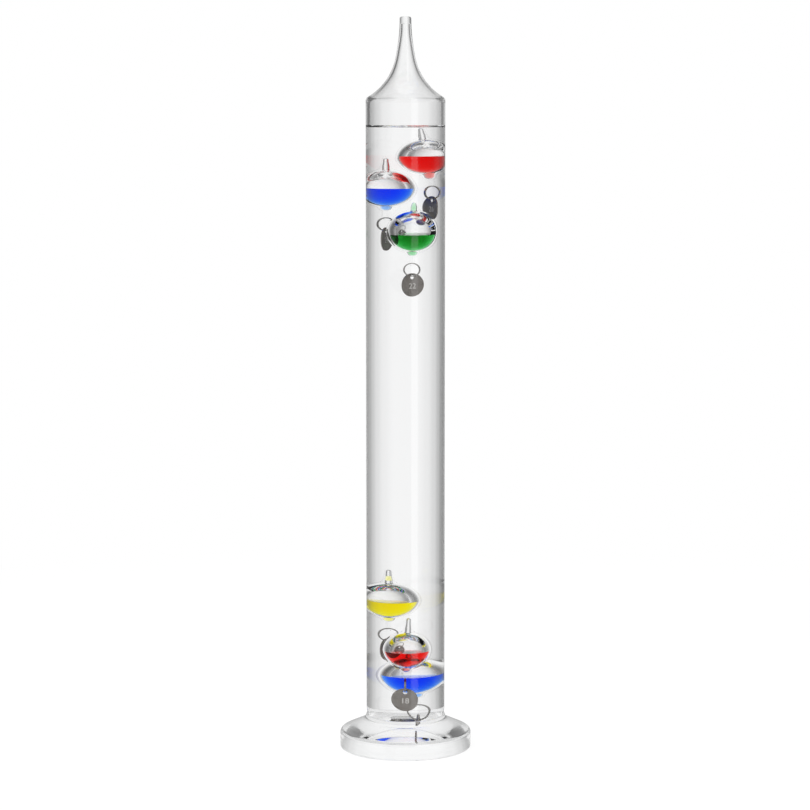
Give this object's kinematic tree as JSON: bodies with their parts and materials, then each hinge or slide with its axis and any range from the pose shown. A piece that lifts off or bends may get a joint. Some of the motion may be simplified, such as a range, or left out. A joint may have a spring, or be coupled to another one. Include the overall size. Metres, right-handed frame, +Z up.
{
  "type": "galileo thermometer",
  "caption": "Sealed glass tube of clear liquid on a round glass foot, with dyed blown-glass floats that carry metal tags and rise or sink with temperature.",
  "frame": {"origin": "centre of the foot's underside, on the table", "axes": "+Z up along the tube, -Y towards the viewer of the picture, +X to their right"},
  "size_m": [0.0504, 0.0504, 0.2792],
  "materials": {
    "foot_glass": "clear, fire polished",
    "tube_glass": "clear, drawn tube",
    "float_glass": "clear, thin blown",
    "clear_liquid": "clear liquid",
    "ring_metal": "dull flat wire",
    "tag_metal": "dull, dark, engraved",
    "red_dye": "red dyed liquid",
    "blue_dye": "blue dyed liquid",
    "green_dye": "green dyed liquid",
    "yellow_dye": "yellow dyed liquid"
  },
  "bodies": {
    "vessel": {"glass_foot": "foot_glass", "glass_tube": "tube_glass", "clear_liquid": "clear_liquid"},
    "top_red_float": {"top_red_ampoule": "float_glass", "top_red_dye": "red_dye"},
    "top_blue_float": {"top_blue_ampoule": "float_glass", "top_blue_dye": "blue_dye"},
    "top_green_float": {"top_green_ampoule": "float_glass", "top_green_dye": "green_dye"},
    "low_blue_float": {"low_blue_ampoule": "float_glass", "low_blue_dye": "blue_dye"},
    "low_red_float": {"low_red_ampoule": "float_glass", "low_red_dye": "red_dye"},
    "low_yellow_float": {"low_yellow_ampoule": "float_glass", "low_yellow_dye": "yellow_dye"},
    "top_red_ring": {"top_red_ring": "ring_metal"},
    "top_red_tag": {"top_red_tag": "tag_metal"},
    "top_blue_ring": {"top_blue_ring": "ring_metal"},
    "top_blue_tag": {"top_blue_tag": "tag_metal"},
    "top_green_ring": {"top_green_ring": "ring_metal"},
    "top_green_tag": {"top_green_tag": "tag_metal"},
    "low_blue_ring": {"low_blue_ring": "ring_metal"},
    "low_blue_tag": {"low_blue_tag": "tag_metal"},
    "low_red_ring": {"low_red_ring": "ring_metal"},
    "low_red_tag": {"low_red_tag": "tag_metal"},
    "low_yellow_ring": {"low_yellow_ring": "ring_metal"},
    "low_yellow_tag": {"low_yellow_tag": "tag_metal"}
  },
  "joints": [
    {"name": "top_red_rise_and_sink", "type": "slide", "parent": "vessel", "child": "top_red_float", "axis": [0, 0, 1], "range_m": [-0.033, 0], "stiffness_N_per_m": 1, "springref_m": 0.16, "deforming": ["clear_liquid"]},
    {"name": "top_blue_rise_and_sink", "type": "slide", "parent": "top_red_float", "child": "top_blue_float", "axis": [0, 0, 1], "range_m": [-0.033, 0], "stiffness_N_per_m": 1, "springref_m": 0.11, "deforming": ["clear_liquid"]},
    {"name": "top_green_rise_and_sink", "type": "slide", "parent": "top_blue_float", "child": "top_green_float", "axis": [0, 0, 1], "range_m": [-0.033, 0], "stiffness_N_per_m": 1, "springref_m": 0.06, "deforming": ["clear_liquid"]},
    {"name": "low_blue_rise_and_sink", "type": "slide", "parent": "vessel", "child": "low_blue_float", "axis": [0, 0, 1], "range_m": [0, 0.033], "deforming": ["clear_liquid"]},
    {"name": "low_red_rise_and_sink", "type": "slide", "parent": "low_blue_float", "child": "low_red_float", "axis": [0, 0, 1], "range_m": [0, 0.033], "deforming": ["clear_liquid"]},
    {"name": "low_yellow_rise_and_sink", "type": "slide", "parent": "low_red_float", "child": "low_yellow_float", "axis": [0, 0, 1], "range_m": [0, 0.033], "deforming": ["clear_liquid"]},
    {"name": "top_red_ring_swing", "type": "hinge", "parent": "top_red_float", "child": "top_red_ring", "pos_m": [0.00671, 0.0016, 0.21511], "axis": [-0.766, 0.6428, 0], "range_deg": [-12, 0], "deforming": ["clear_liquid"]},
    {"name": "top_red_tag_swing", "type": "hinge", "parent": "top_red_ring", "child": "top_red_tag", "pos_m": [0.00671, 0.0016, 0.21058], "axis": [0.766, 0.6428, 0], "range_deg": [-12, 12], "deforming": ["clear_liquid"]},
    {"name": "top_blue_ring_swing", "type": "hinge", "parent": "top_blue_float", "child": "top_blue_ring", "pos_m": [-0.00482, 0.00221, 0.2032], "axis": [-0.2924, 0.9563, 0], "range_deg": [-12, 12], "deforming": ["clear_liquid"]},
    {"name": "top_blue_tag_swing", "type": "hinge", "parent": "top_blue_ring", "child": "top_blue_tag", "pos_m": [-0.00482, 0.00221, 0.19884], "axis": [-0.8829, 0.4695, 0], "range_deg": [-12, 12], "deforming": ["clear_liquid"]},
    {"name": "top_green_ring_swing", "type": "hinge", "parent": "top_green_float", "child": "top_green_ring", "pos_m": [0.0019, -0.0043, 0.1863], "axis": [0.2079, 0.9781, 0], "range_deg": [-12, 12], "deforming": ["clear_liquid"]},
    {"name": "top_green_tag_swing", "type": "hinge", "parent": "top_green_ring", "child": "top_green_tag", "pos_m": [0.0019, -0.0043, 0.18184], "axis": [-0.7193, 0.6947, 0], "range_deg": [-12, 12], "deforming": ["clear_liquid"]},
    {"name": "low_blue_ring_swing", "type": "hinge", "parent": "low_blue_float", "child": "low_blue_ring", "pos_m": [0.00288, 0.0052, 0.0156], "axis": [0, 1, 0], "range_deg": [0, 12], "deforming": ["clear_liquid"]},
    {"name": "low_blue_tag_swing", "type": "hinge", "parent": "low_blue_ring", "child": "low_blue_tag", "pos_m": [0.00288, 0.0052, 0.01106], "axis": [-1, 0, 0], "range_deg": [-3, 12], "deforming": ["clear_liquid"]},
    {"name": "low_red_ring_swing", "type": "hinge", "parent": "low_red_float", "child": "low_red_ring", "pos_m": [-0.0001, -0.0046, 0.02725], "axis": [-1, 0, 0], "range_deg": [0, 12], "deforming": ["clear_liquid"]},
    {"name": "low_red_tag_swing", "type": "hinge", "parent": "low_red_ring", "child": "low_red_tag", "pos_m": [-0.0001, -0.00517, 0.02285], "axis": [0.3907, 0.9205, 0], "range_deg": [-12, 12], "deforming": ["clear_liquid"]},
    {"name": "low_yellow_ring_swing", "type": "hinge", "parent": "low_yellow_float", "child": "low_yellow_ring", "pos_m": [-0.004, 0.0034, 0.04564], "axis": [0, 1, 0], "range_deg": [-3, 12], "deforming": ["clear_liquid"]},
    {"name": "low_yellow_tag_swing", "type": "hinge", "parent": "low_yellow_ring", "child": "low_yellow_tag", "pos_m": [-0.004, 0.0034, 0.04122], "axis": [-0.766, 0.6428, 0], "range_deg": [-12, 12], "deforming": ["clear_liquid"]}
  ]
}
